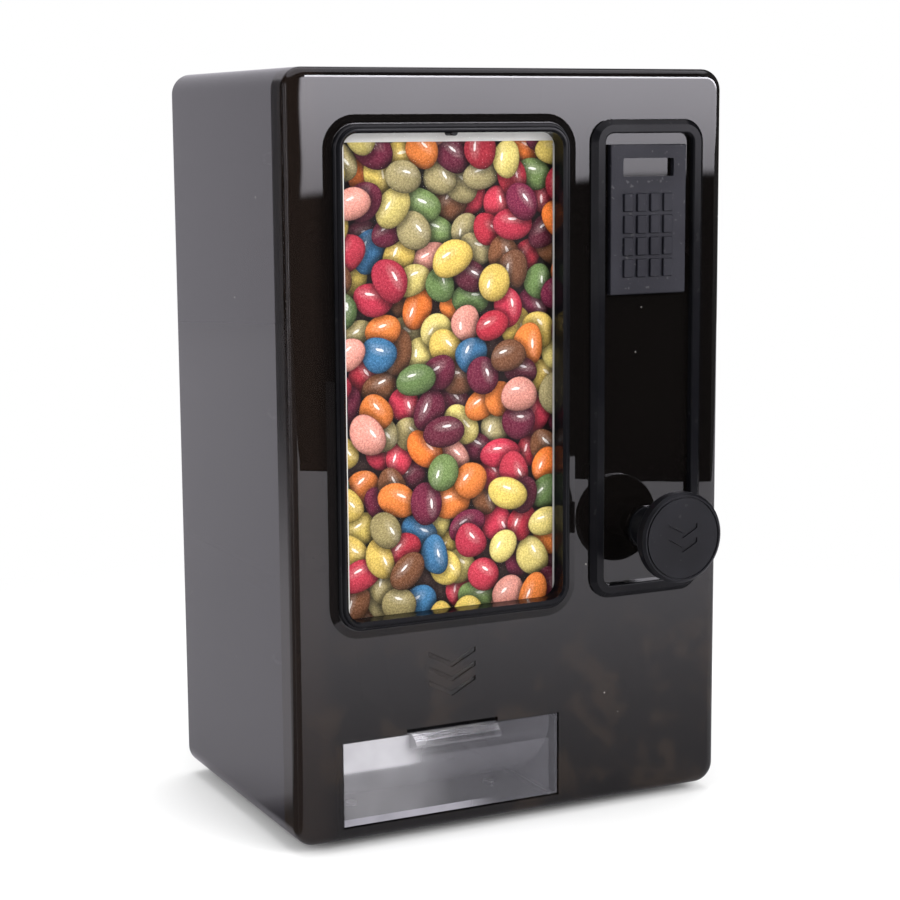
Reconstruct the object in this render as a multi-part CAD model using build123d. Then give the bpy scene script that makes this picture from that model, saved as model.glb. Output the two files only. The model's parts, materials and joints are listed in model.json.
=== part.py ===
from build123d import *
import math
import os

# Candy dispenser in the shape of a small vending machine, in millimetres.
# X runs along the front, Y from the front to the back, Z up. The origin is on the floor, at the middle of
# the whole object, with the knob counted in.

# Case
case_height = 247.0
case_depth = 106.0
cover_depth = 10.4
wall = 2.0
corner_radius = 7.0
front_edge_radius = 3.2
back_edge_radius = 2.5
foot_height = 3.0
foot_radius = 5.5
foot_inset_x = 16.0
foot_inset_front = 16.5
foot_inset_back = 13.5

# Across the front, from left to right
left_margin = 18.25
window_width = 77.6
middle_gap = 15.85
control_width = 33.8
right_margin = 12.9
case_width = left_margin + window_width + middle_gap + control_width + right_margin

# Gaps
fit_gap = 0.1
slide_gap = 0.3
drawer_gap = 0.7
running_gap = 0.05

# Window and its frame
window_height = 154.0
window_bottom = 75.7
window_radius = 5.0
frame_rim = 2.9
frame_rise = 2.0
frame_sleeve_wall = 1.6
frame_sleeve_depth = 3.7
skirt_width = 2.6
skirt_rise = 0.9
pane_thickness = 1.0
card_thickness = 0.4
backing_thickness = 2.0
backing_screw_bite = 3.5
ear_length = 8.0
ear_width = 9.0
ear_low = 96.0
ear_high = 200.0

# Control frame and keypad
control_height = 150.6
control_bottom = 78.4
control_radius = 3.0
control_rim = 4.6
control_slope = 1.8
control_rise = 2.5
keypad_shift = -0.4
keypad_width = 29.1
keypad_height = 49.3
keypad_drop = 3.6
keypad_rise = 2.0
slot_width = 19.4
slot_height = 6.0
slot_offset = 38.8
key_width = 3.6
key_height = 6.0
key_rise = 0.8
key_pitch_x = 5.05
key_pitch_z = 7.2
key_count = 4
key_offset = 12.9
peg_radius = 1.2
peg_length = 2.5
control_peg_drop = 38.0
keypad_peg_inset = 2.5
keypad_peg_drop = 5.0
keypad_peg_reach = 12.0
push_ring_radius = 3.0
push_ring_thickness = 0.6

# Pull knob and its rod
knob_shift = 1.0
knob_z = 96.75
knob_radius = 15.25
knob_thickness = 5.0
knob_standoff = 18.1
knob_hub_radius = 5.5
knob_hub_length = 10.0
knob_bore_depth = 12.0
rod_radius = 3.0
bushing_radius = 5.0
bushing_flange_radius = 7.2
bushing_flange_thickness = 1.2
bushing_length = 12.0
nut_width = 14.0
nut_thickness = 3.5
spring_radius = 4.3
spring_wire = 0.9
spring_length = 36.0
spring_turns = 8
washer_radius = 6.0
washer_thickness = 1.0
clip_radius = 5.0
clip_thickness = 0.9
clip_groove_radius = 2.2
pull_travel = 26.0

# Dispensing slide, its guide and the chute
slide_thickness = 13.0
pocket_width = 30.0
pocket_length = 20.0
pocket_wall = 4.5
slide_nose = 6.0
slide_tail = 27.0
throat_y = 54.0
throat_margin = 1.0
boss_width = 15.0
boss_length = 16.0
pin_radius = 1.0
deck_thickness = 2.0
deck_front = 20.0
rail_wall = 2.5
stop_thickness = 1.7
post_radius = 4.0
post_reach_left = 10.0
post_inset_right = 12.0
post_front = 26.0
post_inset_back = 11.0
ledge_width = 14.0
ledge_height = 6.0
ledge_front = 30.0
guide_screw_front = 45.0
guide_screw_back = 85.0
chute_wall = 1.5
chute_margin = 1.0
chute_bottom = 40.0
chute_lean = 13.0
chute_flange = 6.0

# Hopper
hopper_wall = 1.5
hopper_flange = 2.0
hopper_width = 84.0
hopper_front = 17.5
hopper_rear_gap = 4.0
hopper_neck = 6.0
hopper_cone = 48.0

# Filling lid
lid_shift = -0.65
lid_width = 67.2
lid_front = 30.4
lid_length = 59.6
lid_gap = 0.4
lip_width = 4.6
lip_thickness = 1.6
hinge_radius = 2.0
hinge_pin_radius = 1.0
hinge_gap = 0.3
hinge_ear_width = 6.0
hinge_relief = 2.35
lid_notch_radius = 6.0

# Drawer and its bay
drawer_shift = -1.3
drawer_width = 78.3
drawer_height = 27.7
drawer_bottom = 8.1
drawer_length = 66.0
drawer_front_wall = 2.5
drawer_wall = 1.8
scoop_radius = 34.0
scoop_floor = 10.6
scoop_wall = 1.5
drawer_travel = 45.0
lug_length = 2.0
lug_height = 1.8
tab_width = 31.2
tab_top = 36.3
tab_height = 4.9
tab_lip_height = 3.0
tab_lip_return = 4.2
overcut = 5.0
lip_to_hinge = 6.0
tab_reach = 5.2
tab_ribs = 4
tab_notch_top = 37.7
bay_wall = 1.5
bay_floor = 1.6
bay_height = 29.0
runner_width = 3.0
runner_height = 1.2
bay_screw_reach = 26.0
bay_screw_front = 25.0
bay_screw_back = 56.0

# Screws
case_boss_radius = 4.0
cover_boss_radius = 3.2
case_screw_inset = 5.5
case_screw_heights = (60.4, 141.3, 222.0)
case_screw_radius = 1.5
case_screw_head_radius = 2.7
case_screw_head_height = 2.0
case_screw_length = 21.5
case_screw_well = 80.0
screw_radius = 1.1
screw_head_radius = 2.0
screw_head_height = 0.9
screw_length = 6.0
thread_gap = 0.05

# Marks
mark_depth = 0.5
mark_stroke = 1.5
mark_width = 17.0
mark_height = 4.4
mark_pitch = 4.8
mark_count = 3
mark_top = 61.0
ring_mark_radius = 13.9
ring_mark_width = 0.5
knob_mark_width = 11.0
knob_mark_height = 3.0

# Places that follow
front = -(case_depth + knob_standoff + knob_thickness) / 2 + knob_standoff + knob_thickness
back = front + case_depth
seam = front + cover_depth
half = case_width / 2
window_x = left_margin + window_width / 2 - half
control_x = half - right_margin - control_width / 2
keypad_x = control_x + keypad_shift
keypad_bottom = control_bottom + control_height - keypad_drop - keypad_height
knob_x = control_x + knob_shift
drawer_x = window_x + drawer_shift
lid_x = window_x + lid_shift
hopper_left = lid_x - hopper_width / 2
hopper_right = lid_x + hopper_width / 2
floor_top = foot_height + wall
case_top = foot_height + case_height
roof = case_top - wall
cover_back = front + wall
case_back = back - wall

sleeve_width = window_width + 2 * frame_sleeve_wall
sleeve_height = window_height + 2 * frame_sleeve_wall
window_z = window_bottom + window_height / 2
pane_front = front + frame_sleeve_depth
card_front = pane_front + pane_thickness
backing_front = card_front + card_thickness
backing_back = backing_front + backing_thickness
control_z = control_bottom + control_height / 2
keypad_z = keypad_bottom + keypad_height / 2

slide_bottom = knob_z - slide_thickness / 2
slide_top = knob_z + slide_thickness / 2
deck_top = slide_bottom - slide_gap
deck_bottom = deck_top - deck_thickness
rail_top = slide_top + slide_gap
pocket_front = front + throat_y
pocket_back = pocket_front + pocket_length
slide_front = pocket_front - slide_nose
slide_back = pocket_back + slide_tail
slide_left = window_x - pocket_width / 2 - pocket_wall
slide_right = knob_x + boss_width / 2
boss_front = pocket_front
rod_end = boss_front + boss_length - 2
pin_y = boss_front + boss_length / 2 - 1
bushing_back = cover_back + bushing_length
clip_front = bushing_back + spring_length + washer_thickness
knob_back = front - knob_standoff
knob_face = knob_back - knob_thickness
rod_front = knob_back - knob_bore_depth + knob_hub_length

lid_y = front + lid_front
hinge_y = lid_y + lid_length
hinge_z = case_top - hinge_radius
hinge_ears = (-1, 0, 1)
hinge_reach = lid_width / 2 - hinge_ear_width / 2 - lid_gap

drawer_top = drawer_bottom + drawer_height
drawer_back = front + drawer_length
bay_half = drawer_width / 2 + slide_gap

case_screw_x = half - case_screw_inset
well_end = back - case_screw_well
feet_x = half - foot_inset_x


def block(x0, x1, y0, y1, z0, z1):
    """A box between two corners."""
    return Pos((x0 + x1) / 2, (y0 + y1) / 2, (z0 + z1) / 2) * Box(x1 - x0, y1 - y0, z1 - z0)


def slab(x, z, width, height, radius, y0, y1):
    """A plate with rounded corners, from one depth to another."""
    plane = Plane(origin=(x, y0, z), x_dir=(1, 0, 0), z_dir=(0, 1, 0))
    return extrude(plane * RectangleRounded(width, height, radius), amount=y1 - y0)


def along_y(x, z, y0, y1, radius):
    """A round bar from one depth to another."""
    return Pos(x, (y0 + y1) / 2, z) * Rot(90, 0, 0) * Cylinder(radius, y1 - y0)


def along_z(x, y, z0, z1, radius):
    """A round bar standing up."""
    return Pos(x, y, (z0 + z1) / 2) * Cylinder(radius, z1 - z0)


def along_x(y, z, x0, x1, radius):
    """A round bar lying across."""
    return Pos((x0 + x1) / 2, y, z) * Rot(0, 90, 0) * Cylinder(radius, x1 - x0)


def drafted_box(low, high, z0, z1):
    """A solid between two rectangles (x0, x1, y0, y1), the lower one at z0 and the upper one at z1."""
    faces = []
    for (x0, x1, y0, y1), z in ((low, z0), (high, z1)):
        faces.append(Plane.XY.offset(z) * Pos((x0 + x1) / 2, (y0 + y1) / 2) * Rectangle(x1 - x0, y1 - y0))
    return loft(faces)


def grown(rectangle, amount):
    """A rectangle (x0, x1, y0, y1) made larger all round."""
    x0, x1, y0, y1 = rectangle
    return (x0 - amount, x1 + amount, y0 - amount, y1 + amount)


def screw_down(x, y, z, length=screw_length):
    """A pan-head screw that points down, with its head's underside at z."""
    head = along_z(x, y, z, z + screw_head_height, screw_head_radius)
    shank = along_z(x, y, z - length, z, screw_radius)
    slot = block(x - screw_head_radius, x + screw_head_radius, y - 0.3, y + 0.3, z + screw_head_height - 0.4,
                 z + screw_head_height + 1)
    return head + shank - slot


def screw_forward(x, y, z, length, radius, head_radius, head_height):
    """A screw that points to the front, with its head's underside at y."""
    head = along_y(x, z, y, y + head_height, head_radius)
    shank = along_y(x, z, y - length, y, radius)
    slot = block(x - head_radius, x + head_radius, y + head_height - 0.5, y + head_height + 1, z - 0.35,
                 z + 0.35)
    return head + shank - slot


def peg_places(x, z, reach_x, reach_z):
    """Four places round a centre."""
    return [(x + i * reach_x, z + k * reach_z) for i in (-1, 1) for k in (-1, 1)]


case_screw_places = [(side * case_screw_x, z) for side in (-1, 1) for z in case_screw_heights]
control_pegs = peg_places(control_x, control_z, control_width / 2 + control_rim / 2,
                          control_height / 2 - control_peg_drop)
keypad_pegs = peg_places(keypad_x, keypad_z - keypad_peg_drop, keypad_width / 2 - keypad_peg_inset,
                         keypad_peg_reach)
backing_half = sleeve_width / 2 + fit_gap + backing_thickness
ear_places = [
    (window_x + side * (backing_half + ear_length / 2), z) for side in (-1, 1) for z in (ear_low, ear_high)
]
foot_rows = (front + foot_inset_front, back - foot_inset_back)
foot_places = [(side * feet_x, y) for side in (-1, 1) for y in foot_rows]
guide_screw_places = [
    (side * (half - wall - ledge_width / 2), front + y)
    for side in (-1, 1) for y in (guide_screw_front, guide_screw_back)
]
hopper_post_left = slide_left - post_reach_left
hopper_post_right = half - post_inset_right
hopper_post_places = [
    (x, y) for x in (hopper_post_left, hopper_post_right)
    for y in (front + post_front, back - post_inset_back)
]
bay_screw_places = [
    (drawer_x + side * bay_screw_reach, front + y)
    for side in (-1, 1) for y in (bay_screw_front, bay_screw_back)
]

throat = (
    window_x - pocket_width / 2 + throat_margin,
    window_x + pocket_width / 2 - throat_margin,
    pocket_front + throat_margin,
    pocket_back - throat_margin,
)
chute_mouth = (
    window_x - pocket_width / 2 - chute_margin,
    window_x + pocket_width / 2 + chute_margin,
    pocket_front - pull_travel - chute_margin,
    pocket_back - pull_travel + chute_margin,
)


def feet():
    """Round rubber feet, each with a short stem pressed into the floor of the case."""
    return [
        chamfer(along_z(x, y, 0, foot_height, foot_radius).edges().group_by(Axis.Z)[0], 0.6)
        + along_z(x, y, foot_height, floor_top, foot_radius / 2)
        for x, y in foot_places
    ]


def without_foot_holes(shell):
    for x, y in foot_places:
        shell -= along_z(x, y, foot_height - 1, floor_top + 1, foot_radius / 2 + running_gap)
    return shell


def hinge_ear_places():
    return [lid_x + k * hinge_reach for k in hinge_ears]


def rear_casing():
    """Smoke box, open to the front, with the filling hole in its roof."""
    mid_z = foot_height + case_height / 2
    shell = slab(0, mid_z, case_width, case_height, corner_radius, seam, back)
    shell = fillet(shell.edges().group_by(Axis.Y)[-1], back_edge_radius)
    inner_radius = corner_radius - wall
    shell -= slab(0, mid_z, case_width - 2 * wall, case_height - 2 * wall, inner_radius, seam - 1, case_back)

    # A tongue that reaches into the cover keeps the two halves in line.
    tongue_width = case_width - 2 * wall - 2 * fit_gap
    tongue_height = case_height - 2 * wall - 2 * fit_gap
    tongue = slab(0, mid_z, tongue_width, tongue_height, inner_radius - fit_gap, seam - 2.5, seam + 1.5)
    tongue_hole = (tongue_width - 2.4, tongue_height - 2.4, inner_radius - 1.3)
    tongue -= slab(0, mid_z, *tongue_hole, seam - 3, seam + 2)
    bay_left = drawer_x - bay_half - bay_wall - 0.5
    bay_right = drawer_x + bay_half + bay_wall + 0.5
    tongue -= block(bay_left, bay_right, seam - 3, seam + 2, foot_height, floor_top + 3)
    for x, z in case_screw_places:
        tongue -= along_y(x, z, seam - 3, seam, cover_boss_radius + 0.3)
    bridge = slab(0, mid_z, case_width - wall, case_height - wall, corner_radius - wall / 2, seam, seam + 1.5)
    bridge -= slab(0, mid_z, *tongue_hole, seam - 1, seam + 2)
    bridge -= block(bay_left, bay_right, seam - 1, seam + 2, floor_top, floor_top + 3)
    shell += tongue + bridge

    for x, z in case_screw_places:
        shell += along_y(x, z, seam, case_back + wall / 2, case_boss_radius)
    for side in (-1, 1):
        outer = side * (half - wall / 2)
        inner = side * (half - wall - ledge_width)
        shell += block(min(outer, inner), max(outer, inner), front + ledge_front, case_back + wall / 2,
                       deck_bottom - ledge_height, deck_bottom)
    for x, z in case_screw_places:
        shell -= along_y(x, z, seam - 1, back + 1, case_screw_radius + fit_gap)
        shell -= along_y(x, z, well_end, back + 1, case_screw_head_radius + 0.2)
    for x, y in guide_screw_places:
        shell -= along_z(x, y, deck_bottom - screw_length + deck_thickness - 0.5, deck_bottom + 1,
                         screw_radius + thread_gap)
    for x, y in bay_screw_places:
        shell -= along_z(x, y, foot_height + 0.5, floor_top + 1, screw_radius + thread_gap)

    # The filling hole, with the lip that the lid rests on and the ears of its hinge.
    side_reach = lid_width / 2 + lid_gap
    hole_front = lid_y - lid_gap
    hole_back = hinge_y + hinge_radius + hinge_gap
    lip_front = hole_front + lip_width
    shell -= block(lid_x - side_reach, lid_x + side_reach, hole_front, hole_back, roof - 1, case_top + 1)
    lip = block(lid_x - side_reach - 1, lid_x + side_reach + 1, hole_front - 1, hinge_y - lip_to_hinge,
                roof - lip_thickness, roof)
    lip -= block(lid_x - side_reach + lip_width, lid_x + side_reach - lip_width, lip_front, hole_back,
                 roof - lip_thickness - 1, roof + 1)
    shell += lip
    for x in hinge_ear_places():
        x0 = x - hinge_ear_width / 2
        x1 = x + hinge_ear_width / 2
        ear = along_x(hinge_y, hinge_z, x0, x1, hinge_radius)
        ear += block(x0, x1, hinge_y, hole_back + 2, hinge_z - hinge_radius, case_top)
        shell += ear - along_x(hinge_y, hinge_z, x0 - 1, x1 + 1, hinge_pin_radius + running_gap)
    return without_foot_holes(shell)


def refill_lid():
    """Filling lid, flush with the roof, with a barrel along its rear edge for the hinge pin."""
    x0 = lid_x - lid_width / 2
    x1 = lid_x + lid_width / 2
    lid = block(x0, x1, lid_y, hinge_y, roof, case_top)
    lid = fillet(lid.edges().filter_by(Axis.Z).group_by(Axis.Y)[0], 2.0)
    lid += along_x(hinge_y, hinge_z, x0, x1, hinge_radius)
    for x in hinge_ear_places():
        reach = hinge_ear_width / 2 + hinge_gap
        lid -= block(x - reach, x + reach, hinge_y - hinge_relief, hinge_y + overcut, roof - overcut,
                     case_top + 1)
    lid -= along_x(hinge_y, hinge_z, x0 - 1, x1 + 1, hinge_pin_radius + running_gap)
    lid -= along_z(lid_x, lid_y, roof - 1, case_top + 1, lid_notch_radius)
    return lid


def lid_hinge_pin():
    reach = lid_width / 2 - lid_gap
    return along_x(hinge_y, hinge_z, lid_x - reach, lid_x + reach, hinge_pin_radius)


def arrow_mark(x, z, width, height, depth, y):
    """A chevron stroke that points down, as a cutter in a face that looks to the front."""
    rise = mark_stroke / math.cos(math.atan2(height, width / 2))
    points = [
        (-width / 2, height), (0, 0), (width / 2, height),
        (width / 2, height + rise), (0, rise), (-width / 2, height + rise),
    ]
    plane = Plane(origin=(x, y - 1, z), x_dir=(1, 0, 0), z_dir=(0, -1, 0))
    return extrude(plane * make_face(Polyline(*points, close=True)), amount=-(depth + 1))


def front_cover():
    """Glossy smoke cover: a shallow box, open to the back."""
    mid_z = foot_height + case_height / 2
    cover = slab(0, mid_z, case_width, case_height, corner_radius, front, seam)
    cover = fillet(cover.edges().group_by(Axis.Y)[0], front_edge_radius)
    inner_radius = corner_radius - wall
    cover -= slab(0, mid_z, case_width - 2 * wall, case_height - 2 * wall, inner_radius, cover_back, seam + 1)

    # A raised skirt runs round the window frame.
    ring_width = window_width + 2 * frame_rim
    ring_height = window_height + 2 * frame_rim
    slope = math.degrees(math.atan2(skirt_width, skirt_rise))
    plane = Plane(origin=(window_x, front, window_z), x_dir=(1, 0, 0), z_dir=(0, -1, 0))
    skirt_face = plane * RectangleRounded(ring_width + 2 * skirt_width + 0.6,
                                          ring_height + 2 * skirt_width + 0.6,
                                          window_radius + frame_rim + skirt_width + 0.3)
    cover += extrude(skirt_face, amount=skirt_rise, taper=slope)

    for x, z in case_screw_places:
        cover += along_y(x, z, cover_back - 0.5, seam, cover_boss_radius)
    for x, z in ear_places:
        cover += along_y(x, z, cover_back - 0.5, backing_front, ear_width / 2 - 1)

    cover -= slab(window_x, window_z, sleeve_width + 2 * fit_gap, sleeve_height + 2 * fit_gap,
                  window_radius + frame_sleeve_wall + fit_gap, front - skirt_rise - 1, cover_back + 1)
    opening = drawer_width / 2 + slide_gap
    cover -= block(drawer_x - opening, drawer_x + drawer_width / 2 + drawer_gap, front - 1, cover_back + 1,
                   drawer_bottom - drawer_gap, drawer_top + slide_gap)
    notch = tab_width / 2 + 1
    cover -= block(drawer_x - notch, drawer_x + notch, front - 1, cover_back + 1, drawer_top - 1,
                   tab_notch_top)
    cover -= along_y(knob_x, knob_z, front - 1, cover_back + 1, bushing_radius + fit_gap)
    for x, z in control_pegs + keypad_pegs:
        cover -= along_y(x, z, front - 1, cover_back + 1, peg_radius + fit_gap)
    for x, z in case_screw_places:
        cover -= along_y(x, z, cover_back + 2, seam + 1, case_screw_radius + thread_gap)
    for x, z in ear_places:
        cover -= along_y(x, z, front + 1, backing_front + 1, screw_radius + thread_gap)
    for k in range(mark_count):
        cover -= arrow_mark(drawer_x, mark_top - mark_height - k * mark_pitch, mark_width, mark_height,
                            mark_depth, front)
    return cover


def window_bezel():
    """Black frame in the window: a flat rim, a rounded ridge on it, and a sleeve that holds the pane."""
    rise = front - skirt_rise
    top = rise - frame_rise
    ring_width = window_width + 2 * frame_rim
    ring_height = window_height + 2 * frame_rim
    rim = slab(window_x, window_z, ring_width, ring_height, window_radius + frame_rim, top + 0.9, rise)
    rim = chamfer(rim.edges().group_by(Axis.Y)[0], 0.4)
    ridge = slab(window_x, window_z, ring_width - 1.9, ring_height - 1.9,
                 window_radius + frame_rim - 0.95, top, top + 1.2)
    ridge = fillet(ridge.edges().group_by(Axis.Y)[0], 0.8)
    sleeve = slab(window_x, window_z, sleeve_width, sleeve_height,
                  window_radius + frame_sleeve_wall, rise - 0.2, pane_front)
    bezel = rim + ridge + sleeve
    bezel -= slab(window_x, window_z, window_width, window_height, window_radius, top - 1, pane_front + 1)
    inner_edges = [e for e in bezel.edges() if abs(e.center().Y - top) < 0.01 and
                   abs(e.center().X - window_x) <= window_width / 2 + 0.01 and
                   abs(e.center().Z - window_z) <= window_height / 2 + 0.01]
    bezel = chamfer(inner_edges, 0.7)
    pip = along_y(window_x, window_bottom + window_height, top + 1.2, pane_front, 1.0)
    return bezel + pip


def window_pane():
    pane_width = sleeve_width - 2 * fit_gap
    pane_height = sleeve_height - 2 * fit_gap
    return slab(window_x, window_z, pane_width, pane_height, window_radius + frame_sleeve_wall, pane_front,
                card_front)


def picture_card():
    card_width = sleeve_width - 2 * fit_gap
    card_height = sleeve_height - 2 * fit_gap
    return slab(window_x, window_z, card_width, card_height, window_radius + frame_sleeve_wall, card_front,
                backing_front)


def card_backing():
    """Plate behind the card, with a rim round the pane and four screw ears."""
    outer_height = sleeve_height + 2 * fit_gap + 2 * backing_thickness
    radius = window_radius + frame_sleeve_wall
    backing = slab(window_x, window_z, 2 * backing_half, outer_height, radius + backing_thickness, cover_back,
                   backing_back)
    backing -= slab(window_x, window_z, sleeve_width + 2 * fit_gap, sleeve_height + 2 * fit_gap,
                    radius + fit_gap, cover_back - 1, backing_front)
    for x, z in ear_places:
        inward = math.copysign(1.0, window_x - x)
        tip = x - inward * ear_length / 2
        root = x + inward * (ear_length / 2 + 1)
        backing += block(min(tip, root), max(tip, root), backing_front, backing_back, z - ear_width / 2,
                         z + ear_width / 2)
        backing -= along_y(x, z, backing_front - 1, backing_back + 1, screw_radius + fit_gap)
    return backing


def card_backing_screws():
    return [
        screw_forward(x, backing_back, z, backing_thickness + backing_screw_bite, screw_radius, screw_head_radius,
                      screw_head_height)
        for x, z in ear_places
    ]


def control_bezel():
    """Black frame round the keypad and the knob, with sloping outer sides and four pegs."""
    width = control_width + 2 * control_rim
    height = control_height + 2 * control_rim
    radius = control_radius + control_rim
    bezel = slab(control_x, control_z, width, height, radius, front - control_rise, front)
    slope_edges = bezel.edges().group_by(Axis.Y)[0]
    bezel = chamfer(slope_edges, control_slope)
    bezel -= slab(control_x, control_z, control_width, control_height, control_radius,
                  front - control_rise - 1, front + 1)
    inner_edges = [e for e in bezel.edges() if abs(e.center().Y - front + control_rise) < 0.01 and
                   abs(e.center().X - control_x) <= control_width / 2 + 0.01 and
                   abs(e.center().Z - control_z) <= control_height / 2 + 0.01]
    bezel = fillet(inner_edges, 0.5)
    for x, z in control_pegs:
        bezel += along_y(x, z, front - 0.5, cover_back + peg_length, peg_radius)
    return bezel


def push_rings(places):
    """Push-on rings that grip moulded pegs behind the cover."""
    rings = []
    for x, z in places:
        ring = along_y(x, z, cover_back, cover_back + push_ring_thickness, push_ring_radius)
        rings.append(ring - along_y(x, z, cover_back - 1, cover_back + 2, peg_radius + running_gap))
    return rings


def keypad_plate():
    """Plate with a slot and moulded dummy keys that don't travel."""
    plate = slab(keypad_x, keypad_z, keypad_width, keypad_height, 0.6, front - keypad_rise, front)
    plate = fillet(plate.edges().group_by(Axis.Y)[0], 0.4)
    slot_z = keypad_bottom + slot_offset + slot_height / 2
    plate -= slab(keypad_x, slot_z, slot_width, slot_height, 0.5, front - keypad_rise - 1, front + 1)
    for row in range(key_count):
        for column in range(key_count):
            x = keypad_x - 0.3 + (column - (key_count - 1) / 2) * key_pitch_x
            z = keypad_bottom + key_offset + key_height / 2 - key_pitch_z + row * key_pitch_z
            key = slab(x, z, key_width, key_height, 0.4, front - keypad_rise - key_rise,
                       front - keypad_rise + 0.3)
            plate += fillet(key.edges().group_by(Axis.Y)[0], 0.3)
    for x, z in keypad_pegs:
        plate += along_y(x, z, front - 0.5, cover_back + peg_length, peg_radius)
    return plate


def knob_bushing():
    """Flanged collar in the cover that the rod runs in."""
    collar = along_y(knob_x, knob_z, front - bushing_flange_thickness, front, bushing_flange_radius)
    collar = fillet(collar.edges().group_by(Axis.Y)[0], 0.5)
    collar += along_y(knob_x, knob_z, front, bushing_back, bushing_radius)
    return collar - along_y(knob_x, knob_z, front - overcut, bushing_back + 1,
                            rod_radius + running_gap)


def bushing_nut():
    plane = Plane(origin=(knob_x, cover_back, knob_z), x_dir=(1, 0, 0), z_dir=(0, 1, 0))
    nut = extrude(plane * RegularPolygon(nut_width / 2, 6, major_radius=False), amount=nut_thickness)
    bore = along_y(knob_x, knob_z, cover_back - 1, cover_back + nut_thickness + 1,
                   bushing_radius + running_gap)
    return nut - bore


def pull_knob():
    """Round knob with a hub that the rod is seated in, and a ring and two chevrons cut in its face."""
    disc = along_y(knob_x, knob_z, knob_face, knob_back, knob_radius)
    disc = chamfer(disc.edges().group_by(Axis.Y)[0], 0.9)
    disc = fillet(disc.edges().group_by(Axis.Y)[-1], 1.2)
    hub = along_y(knob_x, knob_z, knob_back - 1, knob_back + knob_hub_length, knob_hub_radius)
    knob = disc + hub
    knob -= along_y(knob_x, knob_z, rod_front, knob_back + knob_hub_length + 1, rod_radius + running_gap)
    ring = along_y(knob_x, knob_z, knob_face - 1, knob_face + mark_depth, ring_mark_radius)
    ring -= along_y(knob_x, knob_z, knob_face - 2, knob_face + 1, ring_mark_radius - ring_mark_width)
    knob -= ring
    for drop in (0, mark_pitch):
        knob -= arrow_mark(knob_x, knob_z - drop, knob_mark_width, knob_mark_height, mark_depth, knob_face)
    return knob


def pull_rod():
    rod = along_y(knob_x, knob_z, rod_front, rod_end, rod_radius)
    groove = along_y(knob_x, knob_z, clip_front, clip_front + clip_thickness + 0.1, rod_radius + 1)
    groove -= along_y(knob_x, knob_z, clip_front - 1, clip_front + 3, clip_groove_radius)
    rod -= groove
    return rod - along_z(knob_x, pin_y, slide_bottom, slide_top, pin_radius + running_gap)


def spring_washer():
    ring = along_y(knob_x, knob_z, clip_front - washer_thickness, clip_front, washer_radius)
    return ring - along_y(knob_x, knob_z, clip_front - 3, clip_front + 1, rod_radius + running_gap)


def rod_clip():
    """Clip in the rod's groove, open on one side."""
    ring = along_y(knob_x, knob_z, clip_front, clip_front + clip_thickness, clip_radius)
    ring -= along_y(knob_x, knob_z, clip_front - 1, clip_front + 2, clip_groove_radius + running_gap)
    mouth = clip_groove_radius * 0.85
    ring -= block(knob_x - mouth, knob_x + mouth, clip_front - 1, clip_front + 2,
                  knob_z - clip_radius - 1, knob_z)
    return ring


def return_spring():
    """Coil spring round the rod, between the collar and the washer."""
    rise = spring_length - spring_wire - 0.1
    path = Helix(rise / spring_turns, rise, spring_radius)
    section = Plane(origin=path @ 0, z_dir=path % 0) * Circle(spring_wire / 2)
    coil = sweep(section, path=path, is_frenet=True)
    return Pos(knob_x, bushing_back + spring_wire / 2 + 0.05, knob_z) * Rot(-90, 0, 0) * coil


def dispensing_slide():
    """Slide with the measuring pocket, an arm and the boss that the rod is pinned in."""
    slide = block(slide_left, slide_right, pocket_back, slide_back, slide_bottom, slide_top)
    slide += block(slide_left, window_x + pocket_width / 2 + pocket_wall, slide_front, slide_back,
                   slide_bottom, slide_top)
    slide += block(knob_x - boss_width / 2, slide_right, boss_front, slide_back, slide_bottom, slide_top)
    slide -= block(window_x - pocket_width / 2, window_x + pocket_width / 2, pocket_front, pocket_back,
                   slide_bottom - 1, slide_top + 1)
    # The arm is hollowed from below, so that its walls are even.
    arm_wall = 2.0
    arm_left = window_x + pocket_width / 2 + pocket_wall
    slide -= block(arm_left, knob_x - boss_width / 2, pocket_back + arm_wall, slide_back - arm_wall,
                   slide_bottom - 1, slide_top - arm_wall)
    slide -= along_y(knob_x, knob_z, boss_front - 1, rod_end, rod_radius + running_gap)
    return slide - along_z(knob_x, pin_y, slide_bottom - 1, slide_top + 1, pin_radius + running_gap)


def slide_pin():
    return along_z(knob_x, pin_y, slide_bottom + 0.5, slide_top - 0.5, pin_radius)


def slide_guide():
    """Deck across the case with the rails and stops of the slide, and the posts under the hopper."""
    guide = block(-half + wall, half - wall, front + deck_front, case_back, deck_bottom, deck_top)
    for x0, x1 in (
        (slide_left - slide_gap - rail_wall, slide_left - slide_gap),
        (slide_right + slide_gap, slide_right + slide_gap + rail_wall),
    ):
        guide += block(x0, x1, front + deck_front, case_back, deck_top - 0.5, rail_top)
    stop_right = window_x + pocket_width / 2
    pulled_front = slide_front - pull_travel - slide_gap
    guide += block(slide_left, stop_right, pulled_front - stop_thickness, pulled_front, deck_top - 0.5,
                   knob_z)
    rest_back = slide_back + slide_gap
    guide += block(slide_left, stop_right, rest_back, rest_back + stop_thickness, deck_top - 0.5, knob_z)
    for x, y in hopper_post_places:
        guide += along_z(x, y, deck_bottom, rail_top, post_radius)
        guide -= along_z(x, y, deck_top, rail_top + 1, screw_radius + thread_gap)
    x0, x1, y0, y1 = chute_mouth
    guide -= block(x0, x1, y0, y1, deck_bottom - 1, deck_top + 1)
    for x, y in guide_screw_places:
        guide -= along_z(x, y, deck_bottom - 1, deck_top + 1, screw_radius + fit_gap)
    for x, y in chute_screw_places():
        guide -= along_z(x, y, deck_bottom - 1, deck_top - 0.4, screw_radius + thread_gap)
    return guide


def guide_screws():
    return [screw_down(x, y, deck_top) for x, y in guide_screw_places]


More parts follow.
